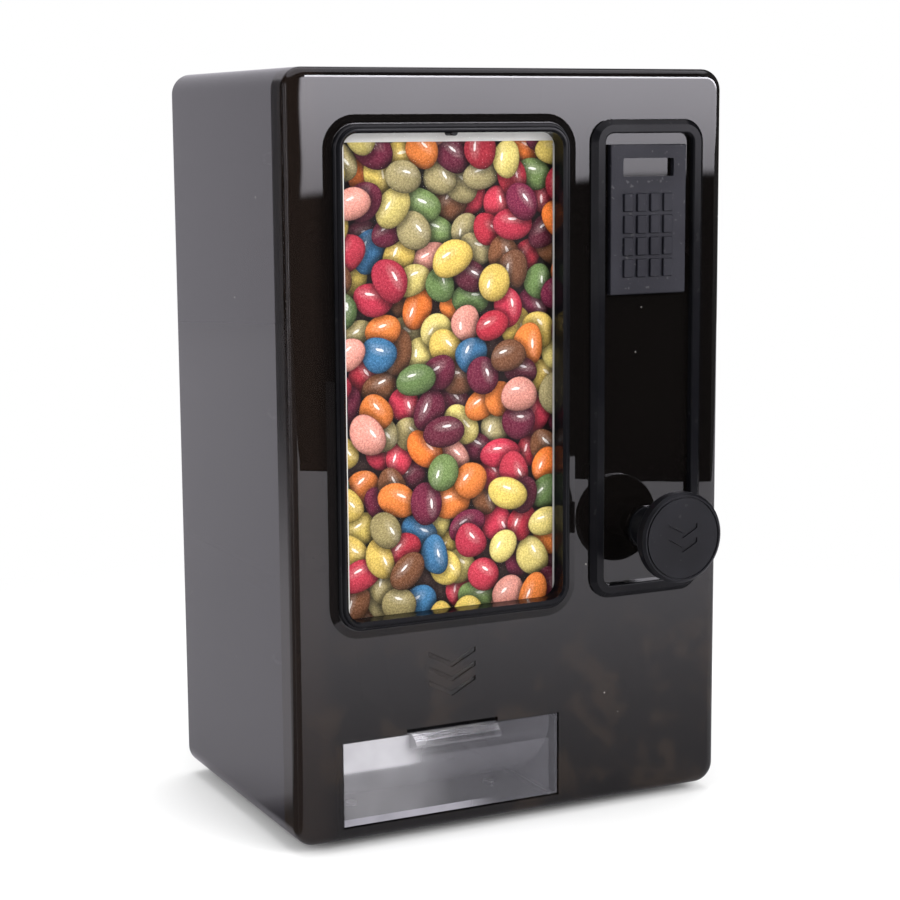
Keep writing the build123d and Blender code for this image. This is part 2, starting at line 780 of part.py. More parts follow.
def hopper():
    """Bin for the sweets: a flange over the slide, a neck, a funnel and straight walls up to the roof."""
    flange_bottom = rail_top
    flange_top = flange_bottom + hopper_flange
    bin_inside = (hopper_left + hopper_wall, hopper_right - hopper_wall, front + hopper_front + hopper_wall,
                  case_back - hopper_rear_gap - hopper_wall)
    neck_top = flange_top + hopper_neck
    cone_top = neck_top + hopper_cone
    flange = block(hopper_post_left - post_radius - 1, hopper_post_right + post_radius + 1,
                   front + deck_front + 1, case_back - 0.5, flange_bottom, flange_top)
    outer_bin = grown(bin_inside, hopper_wall)
    outer_throat = grown(throat, hopper_wall)
    bin_solid = flange
    bin_solid += drafted_box(outer_throat, outer_throat, flange_bottom, neck_top)
    bin_solid += drafted_box(outer_throat, outer_bin, neck_top, cone_top)
    bin_solid += drafted_box(outer_bin, outer_bin, cone_top, roof)
    bin_solid -= drafted_box(throat, throat, flange_bottom - 1, neck_top)
    bin_solid -= drafted_box(throat, bin_inside, neck_top, cone_top)
    bin_solid -= drafted_box(bin_inside, bin_inside, cone_top, roof + 1)
    for x, y in hopper_post_places:
        bin_solid -= along_z(x, y, flange_bottom - 1, flange_top + 1, screw_radius + fit_gap)
    return bin_solid


def hopper_screws():
    return [screw_down(x, y, rail_top + hopper_flange) for x, y in hopper_post_places]


def chute_screw_places():
    x0, x1, y0, y1 = chute_mouth
    reach = chute_wall + chute_flange / 2
    return [(x0 - reach, (y0 + y1) / 2), (x1 + reach, (y0 + y1) / 2)]


def delivery_chute():
    """Chute under the deck that leans to the front and ends over the drawer."""
    x0, x1, y0, y1 = chute_mouth
    low = (x0, x1, y0 - chute_lean, y1 - chute_lean)
    chute = drafted_box(grown(low, chute_wall), grown(chute_mouth, chute_wall), chute_bottom, deck_bottom)
    flange_reach = chute_wall + chute_flange
    chute += block(x0 - flange_reach, x1 + flange_reach, y0 - chute_wall, y1 + chute_wall,
                   deck_bottom - chute_wall, deck_bottom)
    chute -= drafted_box(low, chute_mouth, chute_bottom, deck_bottom)
    for x, y in chute_screw_places():
        chute -= along_z(x, y, deck_bottom - overcut, deck_bottom + 1, screw_radius + fit_gap)
    return chute


def chute_screws():
    """Short screws that point up into the deck."""
    screws = []
    for x, y in chute_screw_places():
        under = deck_bottom - chute_wall
        head = along_z(x, y, under - screw_head_height, under, screw_head_radius)
        screws.append(head + along_z(x, y, under, deck_top - 0.6, screw_radius))
    return screws


def drawer():
    """Clear drawer with a curved scoop inside and a ribbed finger tab on its front."""
    x0 = drawer_x - drawer_width / 2
    x1 = drawer_x + drawer_width / 2
    tray = block(x0, x1, front, drawer_back, drawer_bottom, drawer_top)
    inside_front = front + drawer_front_wall
    inside_back = drawer_back - drawer_wall
    tray -= block(x0 + drawer_wall, x1 - drawer_wall, inside_front, inside_back, drawer_bottom - 1,
                  drawer_top + 1)
    scoop_y = (inside_front + inside_back) / 2
    scoop_z = scoop_floor + scoop_radius
    scoop = along_x(scoop_y, scoop_z, x0 + drawer_wall / 2, x1 - drawer_wall / 2, scoop_radius + scoop_wall)
    scoop -= along_x(scoop_y, scoop_z, x0 - 1, x1 + 1, scoop_radius)
    scoop &= block(x0, x1, inside_front - 0.5, inside_back + 0.5, drawer_bottom, drawer_top - 0.5)
    tray += scoop

    # Lugs on the side walls stop the drawer behind the cover.
    lug_front = cover_back + drawer_travel + slide_gap
    for side in (x0, x1 - drawer_wall):
        tray += block(side, side + drawer_wall, lug_front, lug_front + lug_length, drawer_top - 1,
                      drawer_top + lug_height)

    # The tab's ribs run across its sloping top.
    rib_depth = tab_reach / (tab_ribs + 1)
    points = [(0, tab_top), (-tab_reach * 0.25, tab_top)]
    for k in range(tab_ribs):
        y = -tab_reach * 0.25 - k * rib_depth * 0.75
        z = tab_top - k * 0.45
        points += [(y - rib_depth * 0.55, z), (y - rib_depth * 0.65, z - 0.45)]
    points += [(-tab_reach, tab_top - tab_lip_height), (-tab_reach * 0.75, tab_top - tab_lip_return),
               (0, tab_top - tab_height)]
    plane = Plane(origin=(drawer_x - tab_width / 2, front, 0), x_dir=(0, 1, 0), z_dir=(1, 0, 0))
    tab = extrude(plane * make_face(Polyline(*points, close=True)), amount=tab_width)
    return tray + tab


def drawer_bay():
    """Channel that the drawer runs in, with two runners on its floor."""
    x0 = drawer_x - bay_half
    x1 = drawer_x + bay_half
    inside_back = drawer_back + slide_gap
    bay = block(x0 - bay_wall, x1 + bay_wall, cover_back, inside_back + bay_wall, floor_top,
                floor_top + bay_height)
    bay -= block(x0, x1, cover_back - 1, inside_back, floor_top + bay_floor, floor_top + bay_height + 1)
    for x in (x0, x1 - runner_width):
        bay += block(x, x + runner_width, cover_back, inside_back, floor_top + bay_floor - 0.5,
                     floor_top + bay_floor + runner_height)
    for x, y in bay_screw_places:
        bay -= along_z(x, y, floor_top - 1, floor_top + bay_floor + 1, screw_radius + fit_gap)
    return bay


def bay_screws():
    return [screw_down(x, y, floor_top + bay_floor, bay_floor + wall - 0.7) for x, y in bay_screw_places]


def case_screws():
    """Screws from the back, their heads at the bottom of deep wells."""
    return [
        screw_forward(x, well_end, z, case_screw_length, case_screw_radius, case_screw_head_radius,
                      case_screw_head_height)
        for x, z in case_screw_places
    ]


pieces = {
    "rear_casing": rear_casing,
    "front_cover": front_cover,
    "window_bezel": window_bezel,
    "window_pane": window_pane,
    "picture_card": picture_card,
    "card_backing": card_backing,
    "card_backing_screws": card_backing_screws,
    "control_bezel": control_bezel,
    "bezel_retainers": lambda: push_rings(control_pegs),
    "keypad_plate": keypad_plate,
    "keypad_retainers": lambda: push_rings(keypad_pegs),
    "knob_bushing": knob_bushing,
    "bushing_nut": bushing_nut,
    "hopper": hopper,
    "hopper_screws": hopper_screws,
    "slide_guide": slide_guide,
    "guide_screws": guide_screws,
    "delivery_chute": delivery_chute,
    "chute_screws": chute_screws,
    "drawer_bay": drawer_bay,
    "bay_screws": bay_screws,
    "feet": feet,
    "case_screws": case_screws,
    "lid_hinge_pin": lid_hinge_pin,
    "refill_lid": refill_lid,
    "pull_knob": pull_knob,
    "pull_rod": pull_rod,
    "spring_washer": spring_washer,
    "rod_clip": rod_clip,
    "dispensing_slide": dispensing_slide,
    "slide_pin": slide_pin,
    "return_spring": return_spring,
    "drawer": drawer,
}

os.makedirs("parts", exist_ok=True)
for name, make in pieces.items():
    shape = make()
    if isinstance(shape, list):
        shape = Compound(children=[s for item in shape for s in item.solids()])
    export_step(shape, f"parts/{name}.step")
    print(name, len(shape.solids()), round(shape.volume, 1))
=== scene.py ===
# %% [markdown]
# # A sweet dispenser shaped like a small vending machine
#
# This notebook dresses a finished mechanical model. The case, the frames, the knob, the slide and the drawer come
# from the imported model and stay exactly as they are. What is made here is the look: the smoke plastic, the printed
# card, the coil spring, the floor and the light. Each step first says what the real thing is and why it is made so.

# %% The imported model
import json
import math
import random

import bpy
import numpy as np
from mathutils import Matrix, Vector
from mathutils.geometry import delaunay_2d_cdt


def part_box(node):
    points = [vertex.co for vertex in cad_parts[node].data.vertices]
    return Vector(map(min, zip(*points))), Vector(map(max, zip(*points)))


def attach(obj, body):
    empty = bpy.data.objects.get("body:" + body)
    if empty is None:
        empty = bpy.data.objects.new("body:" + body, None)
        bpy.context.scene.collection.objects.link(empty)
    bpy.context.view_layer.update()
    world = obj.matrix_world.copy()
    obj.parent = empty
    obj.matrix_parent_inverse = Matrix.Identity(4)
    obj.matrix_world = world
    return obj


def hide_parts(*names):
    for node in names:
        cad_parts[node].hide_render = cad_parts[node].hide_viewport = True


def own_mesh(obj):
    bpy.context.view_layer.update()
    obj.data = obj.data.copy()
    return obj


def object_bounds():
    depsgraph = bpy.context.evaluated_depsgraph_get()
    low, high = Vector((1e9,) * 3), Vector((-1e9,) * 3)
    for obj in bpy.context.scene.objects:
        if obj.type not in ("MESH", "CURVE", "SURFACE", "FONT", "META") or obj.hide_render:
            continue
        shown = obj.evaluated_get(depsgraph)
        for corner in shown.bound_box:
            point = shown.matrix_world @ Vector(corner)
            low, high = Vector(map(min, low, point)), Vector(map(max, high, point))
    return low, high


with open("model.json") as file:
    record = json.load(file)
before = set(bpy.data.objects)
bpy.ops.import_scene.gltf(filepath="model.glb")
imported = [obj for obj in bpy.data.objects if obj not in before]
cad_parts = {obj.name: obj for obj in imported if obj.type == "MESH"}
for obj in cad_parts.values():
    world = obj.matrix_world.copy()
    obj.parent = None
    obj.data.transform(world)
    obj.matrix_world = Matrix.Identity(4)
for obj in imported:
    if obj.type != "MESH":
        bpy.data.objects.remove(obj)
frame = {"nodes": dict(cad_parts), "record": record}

cad_box = [list(corner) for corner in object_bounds()]
nodes = frame["nodes"]
cover_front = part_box("front_cover")[0].y
case_left = cad_box[0][0]
print("nodes:", len(nodes), "box:", cad_box)

# %% [markdown]
# ## The camera
#
# The photograph looks down a little and from the left. A camera can be given by its place and three angles: how far
# it is turned about the upright, how far it looks down, and how far it leans. Turning those into three arrows, to the
# right, up and back, fills the camera's matrix directly, with no tracking constraint that could drift.

# %% Camera
TURN, TILT, LEAN = math.radians(-26.150), math.radians(8.770), math.radians(-0.385)
CAMERA_PLACE = Vector((-0.31759, -0.63984, 0.23142))
LENS_MM = 83.741

backward = Vector((math.sin(TURN) * math.cos(TILT), -math.cos(TURN) * math.cos(TILT), math.sin(TILT)))
level_right = (-backward).cross(Vector((0, 0, 1))).normalized()
level_up = level_right.cross(-backward)
right = level_right * math.cos(LEAN) + level_up * math.sin(LEAN)
up = level_up * math.cos(LEAN) - level_right * math.sin(LEAN)

camera_data = bpy.data.cameras.new("camera")
camera_data.lens = LENS_MM
camera_data.sensor_width = 36
camera_data.clip_start = 0.01
camera = bpy.data.objects.new("camera", camera_data)
bpy.context.scene.collection.objects.link(camera)
camera.matrix_world = Matrix((right, up, backward)).transposed().to_4x4()
camera.matrix_world.translation = CAMERA_PLACE
bpy.context.scene.camera = camera

# %% [markdown]
# ## Writing a finish as maths
#
# A material is a net of nodes, and a net is hard to read in code. Two small helpers make it short. `Wire` is a socket
# that can be added, multiplied and compared, and each operation adds one Math node. `Finish` is a material with one
# method that adds any node. Numbers that are the same all over are set on the shader's own sockets.

# %% Helpers for finishes
class Wire:
    """A socket of a node, usable in sums."""

    def __init__(self, finish, socket):
        self.finish = finish
        self.socket = socket

    def math(self, operation, *others):
        values = {0: self}
        values.update({i + 1: other for i, other in enumerate(others)})
        return self.finish.add("Math", {"operation": operation}, values)

    def __add__(self, other):
        return self.math("ADD", other)

    def __sub__(self, other):
        return self.math("SUBTRACT", other)

    def __mul__(self, other):
        return self.math("MULTIPLY", other)

    def __rsub__(self, other):
        return self.finish.add("Math", {"operation": "SUBTRACT"}, {0: other, 1: self})

    def __truediv__(self, other):
        return self.math("DIVIDE", other)

    def step(self, low, high):
        """0 below low, 1 above high, smooth between."""
        settings = {"interpolation_type": "SMOOTHSTEP"}
        return self.finish.add("MapRange", settings, {0: self, 1: low, 2: high, 3: 0.0, 4: 1.0})

    __radd__ = __add__
    __rmul__ = __mul__


class Finish:
    """A material, or the world, that is built node by node."""

    def __init__(self, name, world=False):
        holder = bpy.data.worlds.new(name) if world else bpy.data.materials.new(name)
        holder.use_nodes = True
        self.holder = holder
        self.tree = holder.node_tree
        self.tree.nodes.clear()

    def add(self, kind, settings=None, values=None, out=0):
        """Adds a node of a kind, sets it up, fills its sockets and returns one of its outputs."""
        node = self.tree.nodes.new("ShaderNode" + kind)
        for key, value in (settings or {}).items():
            setattr(node, key, value)
        for key, value in (values or {}).items():
            if isinstance(value, Wire):
                self.tree.links.new(value.socket, node.inputs[key])
            else:
                node.inputs[key].default_value = value
        return Wire(self, node.outputs[out])

    def place(self):
        """The point on the object, in metres."""
        return self.add("TexCoord", out="Object")

    def axis(self, vector, number):
        """One of a vector's three parts."""
        return self.add("SeparateXYZ", {}, {0: vector}, out=number)

    def noise(self, scale, detail=2.0, where=None, rough=0.5):
        return self.add("TexNoise", {}, {"Vector": where or self.place(), "Scale": scale, "Detail": detail,
                                         "Roughness": rough})

    def blend(self, amount, first, second):
        """A colour between two colours."""
        return self.add("Mix", {"data_type": "RGBA"}, {0: amount, 6: first, 7: second}, out=2)

    def bump(self, height, depth, strength):
        return self.add("Bump", {}, {"Height": height, "Distance": depth, "Strength": strength})

    def shader(self, values):
        """The one shader of a solid finish."""
        surface = self.add("BsdfPrincipled", {}, values)
        self.output(surface)
        return self.holder

    def output(self, surface):
        kind = "OutputWorld" if isinstance(self.holder, bpy.types.World) else "OutputMaterial"
        node = self.tree.nodes.new("ShaderNode" + kind)
        self.tree.links.new(surface.socket, node.inputs[0])


def grey(value):
    return (value, value, value, 1.0)


# %% [markdown]
# ## Smoke plastic
#
# The case is moulded in polished styrene with a dark brown-grey dye. Seen square on it is nearly black. Seen along the
# side it turns hazy grey, because a polished surface mirrors more at a shallow angle. Both effects come from one
# shader with low roughness and an alpha a little under 1. Polished plastic is never perfect: it gets a faint waviness,
# thin smears where hands have been, and specks of dust.
#
# The cover has three looks that the casing doesn't have. Its left part is browner, with a soft random mottling low
# down that stands for stains. The upper part of its thin left flank is made more see-through, which darkens it:
# painted shade in place of the dark room that the real, rounder edge mirrors. The grooves of the mark are rough, so
# they stay matt in the gloss.

# %% Smoke plastic
WARM_BROWN, STAIN_BROWN = (0.0090, 0.0062, 0.0050, 1), (0.020, 0.013, 0.008, 1)
DUST_COLOUR = (0.35, 0.33, 0.31, 1.0)
BROWN_FADE = 0.008
STAIN_HEIGHT = (0.045, 0.085)
STAIN_AMOUNT = 0.55
FLANK_INNER, FLANK_OUTER = 0.0003, 0.0010
FLANK_HEIGHT = (0.08, 0.15)
FLANK_SHADE_STRENGTH = 0.75
GROOVE_ROUGHNESS = 0.6


def smoke_plastic(name, tint, clear, groove=None, brown_to=None):
    """Dark polished plastic. The cover also has a box round its grooves, and a place that its brown reaches to."""
    finish = Finish(name)
    if brown_to is not None:
        across, upright = finish.axis(finish.place(), 0), finish.axis(finish.place(), 2)
        warm = 1 - across.step(brown_to - BROWN_FADE, brown_to)
        tint = finish.blend(warm, tint, WARM_BROWN)
        stain = finish.noise(48, 3, rough=0.6).step(0.48, 0.62) * (1 - upright.step(*STAIN_HEIGHT))
        tint = finish.blend(stain * STAIN_AMOUNT, tint, STAIN_BROWN)
    smear = finish.noise(38, 4, rough=0.65).step(0.45, 0.75)
    dust_cell = finish.add("TexVoronoi", {}, {"Vector": finish.place(), "Scale": 160.0}, out="Distance")
    dust_choice = finish.noise(95, 1).step(0.62, 0.66)
    dust = (1 - dust_cell.step(0.03, 0.07)) * dust_choice
    colour = finish.blend(dust * 0.5, tint, DUST_COLOUR)
    waviness = finish.noise(24, 1.0)
    alpha = dust * clear + (1.0 - clear)
    if brown_to is not None:
        # Painted shade: the upper left flank is made more see-through, so it mirrors less and looks darker.
        painted_dark_flank = 1 - across.step(case_left + FLANK_INNER, case_left + FLANK_OUTER)
        alpha = alpha * (1 - painted_dark_flank * upright.step(*FLANK_HEIGHT) * FLANK_SHADE_STRENGTH)
    roughness = smear * 0.02 + dust * 0.3 + 0.005
    if groove is not None:
        low, high = groove
        inside = 1
        for number in range(3):
            part = finish.axis(finish.place(), number)
            inside = part.math("GREATER_THAN", low[number]) * part.math("LESS_THAN", high[number]) * inside
        roughness = roughness + inside * GROOVE_ROUGHNESS
    return finish.shader({
        "Base Color": colour,
        "Roughness": roughness,
        "IOR": 1.5,
        "Alpha": alpha,
        "Normal": finish.bump(waviness, 0.00012, 0.5),
    })


smoke_casing = smoke_plastic("smoke_casing", (0.020, 0.018, 0.022, 1), 0.06)
drawer_low, drawer_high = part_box("drawer")
mark_centre = (drawer_low.x + drawer_high.x) / 2
MARK_HALF_WIDTH = 0.010
MARK_NEAR, MARK_FAR = 0.00095, 0.0020
MARK_FOOT, MARK_TOP = 0.044, 0.066
mark_box = (
    (mark_centre - MARK_HALF_WIDTH, cover_front + MARK_NEAR, MARK_FOOT),
    (mark_centre + MARK_HALF_WIDTH, cover_front + MARK_FAR, MARK_TOP),
)
window_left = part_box("window_bezel")[0].x
smoke_cover = smoke_plastic("smoke_cover", (0.0032, 0.0026, 0.0024, 1), 0.10, mark_box, window_left)

# %% [markdown]
# ## Black frames, knob and keypad
#
# The two frames are satin black, the knob is a shade duller, and the keypad plate is spark-eroded: a fine grain that
# scatters light and makes it look dark grey. The grain is a bump of fine noise. The edges of such parts catch a thin
# highlight, which comes from the modelled chamfers and needs nothing more.

# %% Black frames, knob and keypad
def satin_plastic(name, dark, light, rough, grain_scale, grain_depth, specks=0.35, gloss=0.5):
    finish = Finish(name)
    mottle = finish.noise(60, 3)
    grain = finish.noise(grain_scale, 2, rough=0.6)
    speck = finish.noise(grain_scale * 0.45, 1).step(0.70, 0.74)
    colour = finish.blend(mottle.step(0.3, 0.7), dark, light)
    colour = finish.blend(speck * specks, colour, grey(0.12))
    return finish.shader({
        "Base Color": colour,
        "Roughness": grain * 0.12 + (rough - 0.06),
        "Specular IOR Level": gloss,
        "Normal": finish.bump(grain, grain_depth, 0.6),
    })


black_frame = satin_plastic("black_frame", (0.0035, 0.0035, 0.0045, 1), (0.006, 0.006, 0.007, 1), 0.15, 900,
                            0.000004, 0.05, 0.10)
knob_plastic = satin_plastic("knob_plastic", (0.005, 0.005, 0.006, 1), (0.008, 0.008, 0.010, 1), 0.38, 1100,
                             0.00002, 0.1, 0.11)
keypad_plastic = satin_plastic("keypad_plastic", (0.007, 0.007, 0.010, 1), (0.013, 0.013, 0.017, 1), 0.40, 1400,
                               0.00008, 0.3, 0.11)
dark_inner = satin_plastic("dark_inner", (0.030, 0.030, 0.032, 1), (0.045, 0.045, 0.047, 1), 0.5, 700, 0.00003)
milky_inner = satin_plastic("milky_inner", (0.62, 0.60, 0.56, 1), (0.70, 0.68, 0.64, 1), 0.42, 700, 0.00002)

# %% [markdown]
# ## Clear plastic
#
# The drawer is clear styrene two millimetres thick. A refracting shader would keep lamp light out of the case, since
# light bent by glass isn't aimed at. A thin see-through shader lets it in: alpha is low where one looks square on and
# rises towards the edges, as clear plastic does. The drawer's front also carries painted light: a painted haze, a
# bright band along its foot and a painted sheen above it. They stand for light that a thin shader doesn't bend, and
# they move with the drawer.

# %% Clear plastic
PAINTED_HAZE_COLOUR, PAINTED_BAND_COLOUR, PAINTED_SHEEN_COLOUR = (0.38, 0.37, 0.39, 1), (0.33, 0.32, 0.36, 1), (0.48, 0.47, 0.50, 1)
PAINTED_BAND_TOP, PAINTED_BAND_TOP_END = 0.0022, 0.0026
PAINTED_SHEEN_FOOT, PAINTED_SHEEN_FOOT_END = 0.0160, 0.0185
FACE_FADE = 0.0005
DRAWER_FACE_DEPTH = 0.0025


def clear_plastic(name, tint, least, most, rough, gloss, front=None):
    """Thin clear plastic, with an alpha from least to most. A front is a box whose face gets the drawer's painted
    light.
    """
    finish = Finish(name)
    facing = finish.add("LayerWeight", {}, {"Blend": 0.35}, out="Facing")
    streaks = finish.noise(70, 3, rough=0.6).step(0.45, 0.8)
    alpha = facing * (most - least) + streaks * 0.04 + least
    colour = tint
    if front is not None:
        low, high = front
        x, y, z = (finish.axis(finish.place(), number) for number in range(3))
        along = (x - low.x) / (high.x - low.x)
        face = 1 - y.step(high.y, high.y + FACE_FADE)
        cloud = finish.noise(90, 2)
        # Painted light: a haze, a bright band along the foot and a sheen, set in the colour and the alpha.
        painted_band = (1 - z.step(low.z + PAINTED_BAND_TOP, low.z + PAINTED_BAND_TOP_END)) * (1 - along.step(0.5, 0.8)) * face
        painted_sheen = z.step(low.z + PAINTED_SHEEN_FOOT, low.z + PAINTED_SHEEN_FOOT_END) * (1 - along.step(0.25, 0.48)) * face
        painted_haze = (1 - along.step(0.2, 0.75)) * face
        colour = finish.blend(painted_haze * 0.7, tint, PAINTED_HAZE_COLOUR)
        colour = finish.blend(painted_band, colour, PAINTED_BAND_COLOUR)
        colour = finish.blend(painted_sheen, colour, PAINTED_SHEEN_COLOUR)
        alpha = alpha.math("MAXIMUM", painted_haze * (cloud * 0.3 + 0.25))
        alpha = alpha.math("MAXIMUM", painted_band * (cloud * 0.5 + 0.45))
        alpha = alpha.math("MAXIMUM", painted_sheen * (cloud * 0.3 + 0.62))
    return finish.shader({
        "Base Color": colour,
        "Roughness": streaks * 0.04 + rough,
        "Alpha": alpha,
        "Specular IOR Level": gloss,
        "Normal": finish.bump(finish.noise(45, 2), 0.0002, 0.5),
    })


drawer_face = (drawer_low, Vector((drawer_high.x, cover_front + DRAWER_FACE_DEPTH, drawer_high.z)))
clear_drawer = clear_plastic("clear_drawer", (0.20, 0.195, 0.22, 1), 0.10, 0.75, 0.03, 0.5, drawer_face)
clear_pane = clear_plastic("clear_pane", (0.03, 0.03, 0.03, 1), 0.0, 0.06, 0.03, 0.05)

# %% [markdown]
# ## Metal and rubber
#
# The screws, pins and rings are zinc-plated steel and the spring is bright spring steel. They are small and mostly
# inside, so one brushed look serves, with a fine scratch pattern in the roughness.

# %% Metal and rubber
def plain_metal(name, tint, rough):
    finish = Finish(name)
    scratch = finish.noise(420, 4, rough=0.7)
    return finish.shader({
        "Base Color": finish.blend(scratch, tint, grey(0.8)),
        "Metallic": 1.0,
        "Roughness": scratch * 0.25 + rough,
        "Normal": finish.bump(scratch, 0.00002, 0.4),
    })


steel = plain_metal("steel", (0.55, 0.55, 0.57, 1), 0.2)
spring_steel = plain_metal("spring_steel", (0.42, 0.42, 0.44, 1), 0.15)
rubber_feet = satin_plastic("rubber_feet", grey(0.012), grey(0.022), 0.7, 600, 0.00006)

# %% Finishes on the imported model
finishes = {
    "smoke_casing": smoke_casing,
    "smoke_cover": smoke_cover,
    "black_frame": black_frame,
    "clear_pane": clear_pane,
    "dark_inner": dark_inner,
    "milky_inner": milky_inner,
    "keypad_plastic": keypad_plastic,
    "knob_plastic": knob_plastic,
    "steel": steel,
    "spring_steel": spring_steel,
    "rubber_feet": rubber_feet,
    "clear_drawer": clear_drawer,
}
slot_of = {entry["node"]: entry["material_slot"] for entry in frame["record"]["subparts"]}
for name, node in nodes.items():
    if slot_of[name] in finishes:
        node.data.materials.clear()
        node.data.materials.append(finishes[slot_of[name]])
print("finished nodes:", sum(slot_of[name] in finishes for name in nodes))

# %% [markdown]
# ## The printed card
#
# The card shows a heap of sweets in mixed colours, at about their real size, inside a white margin. A print is flat,
# so no sweet is modelled in the round. Instead the card's face is one sheet, cut along the outlines of the sweets, and
# each piece of it knows which sweet it shows. A constrained triangulation makes such a sheet from outlines that cross
# each other, which no operator in edit mode does. The heap itself is thrown by a seeded random generator.
#
# Every corner of the sheet stores where it lies on its sweet, from -1 to 1 across and up. That is enough for the
# finish to work out how the sweet's surface would face, and so its light side and its dark rim. A second map stores
# the place along the sweet's own length, which its small highlight follows. The sheet lies a hair behind the pane,
# because two faces in one plane would show as haze.

# %% The heap of sweets
card_low, card_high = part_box("picture_card")
MARGIN_LEFT, MARGIN_RIGHT, MARGIN_TOP, MARGIN_BOTTOM = 0.0048, 0.0016, 0.0043, 0.0012
picture_left, picture_right = card_low.x + MARGIN_LEFT, card_high.x - MARGIN_RIGHT
picture_bottom, picture_top = card_low.z + MARGIN_BOTTOM, card_high.z - MARGIN_TOP
SWEET_LONG, SWEET_WIDE = 0.0072, 0.0055
COLUMN_STEP, ROW_STEP = 0.0092, 0.0080
SWEET_COLOURS = (
    (0.120, 0.004, 0.028), (0.145, 0.005, 0.036), (0.095, 0.005, 0.022), (0.38, 0.015, 0.035), (0.46, 0.022, 0.055),
    (0.50, 0.030, 0.060), (0.74, 0.30, 0.24), (0.74, 0.17, 0.022), (0.74, 0.20, 0.035), (0.70, 0.52, 0.12),
    (0.68, 0.55, 0.17), (0.66, 0.46, 0.10), (0.36, 0.29, 0.12), (0.34, 0.28, 0.13), (0.16, 0.24, 0.075),
    (0.11, 0.18, 0.055), (0.035, 0.15, 0.30), (0.17, 0.060, 0.020), (0.15, 0.055, 0.022),
)
dice = random.Random(29)


def throw_sweets():
    """Sweets on a loose grid, each turned and shifted by chance, in a random order from bottom to top."""
    sweets = []
    rows = round((picture_top - picture_bottom) / ROW_STEP) + 2
    columns = round((picture_right - picture_left) / COLUMN_STEP) + 2
    for row in range(rows):
        for column in range(columns):
            sweets.append({
                "x": picture_left + (column - 0.5 + 0.5 * (row % 2) + dice.uniform(-0.3, 0.3)) * COLUMN_STEP,
                "z": picture_bottom + (row - 0.5 + dice.uniform(-0.3, 0.3)) * ROW_STEP,
                "turn": dice.uniform(0, math.pi),
                "long": SWEET_LONG * dice.uniform(0.80, 1.06),
                "wide": SWEET_WIDE * dice.uniform(0.86, 1.08),
                "bend": dice.uniform(-0.16, 0.22),
                "colour": dice.choice(SWEET_COLOURS),
                "glow": dice.uniform(0.85, 1.15),
                "shift": dice.uniform(-0.25, 0.25),
            })
    dice.shuffle(sweets)
    return sweets


sweets = throw_sweets()
print("sweets:", len(sweets))


def on_sweet(sweet, x, z):
    """Where points lie on a sweet: along and across it, 1 at its outline."""
    dx, dz = x - sweet["x"], z - sweet["z"]
    cos, sin = math.cos(sweet["turn"]), math.sin(sweet["turn"])
    along = (dx * cos + dz * sin) / sweet["long"]
    across = (dz * cos - dx * sin) / sweet["wide"] + sweet["bend"] * along * along
    return along, across


def outline(sweet, steps=28):
    """The bent oval of a sweet, as points on the card."""
    cos, sin = math.cos(sweet["turn"]), math.sin(sweet["turn"])
    points = []
    for k in range(steps):
        angle = 2 * math.pi * k / steps
        along = math.cos(angle)
        across = math.sin(angle) - sweet["bend"] * along * along
        x, z = along * sweet["long"], across * sweet["wide"]
        points.append((sweet["x"] + x * cos - z * sin, sweet["z"] + x * sin + z * cos))
    return points


# %% [markdown]
# The outlines, the picture's border and a fine grid of loose points go into one triangulation. The grid is there so
# that a soft shadow, stored at the corners, can fade across the sheet.

# %% The sheet, cut along the outlines
GRID_STEP = 0.0010
MM_PER_METRE = 1000.0


def rectangle(x0, x1, z0, z1):
    return [(x0, z0), (x1, z0), (x1, z1), (x0, z1)]


def cut_sheet():
    points, edges = [], []
    loops = [rectangle(card_low.x, card_high.x, card_low.z, card_high.z),
             rectangle(picture_left, picture_right, picture_bottom, picture_top)]
    loops += [outline(sweet) for sweet in sweets]
    for loop in loops:
        inside = [(min(max(x, card_low.x), card_high.x), min(max(z, card_low.z), card_high.z)) for x, z in loop]
        first = len(points)
        points += inside
        edges += [(first + k, first + (k + 1) % len(loop)) for k in range(len(loop))]
    for x in np.arange(picture_left + GRID_STEP / 2, picture_right, GRID_STEP):
        for z in np.arange(picture_bottom + GRID_STEP / 2, picture_top, GRID_STEP):
            points.append((x, z))
    flat = [Vector((x * MM_PER_METRE, z * MM_PER_METRE)) for x, z in points]
    verts, _, faces, _, _, _ = delaunay_2d_cdt(flat, edges, [], 0, 1e-4)
    return np.array([tuple(v) for v in verts]) / MM_PER_METRE, [tuple(f) for f in faces if len(f) == 3]


sheet_points, sheet_faces = cut_sheet()
print("sheet:", len(sheet_points), "points,", len(sheet_faces), "faces")

# %% Which sweet each face shows
SHADOW_REACH, SHADOW_DEPTH = 1.45, 0.70
IN_GAP, IN_MARGIN = -1, -2
OFF_THE_SWEET = 5.0
GAP_COLOUR = (0.030, 0.010, 0.008)
corner_index = np.array(sheet_faces)
centres = sheet_points[corner_index].mean(axis=1)
in_picture = ((centres[:, 0] > picture_left) & (centres[:, 0] < picture_right) &
              (centres[:, 1] > picture_bottom) & (centres[:, 1] < picture_top))
top_sweet = np.full(len(centres), IN_GAP)
for k, sweet in enumerate(sweets):
    along, across = on_sweet(sweet, centres[:, 0], centres[:, 1])
    top_sweet[along**2 + across**2 < 1] = k
top_sweet[~in_picture] = IN_MARGIN

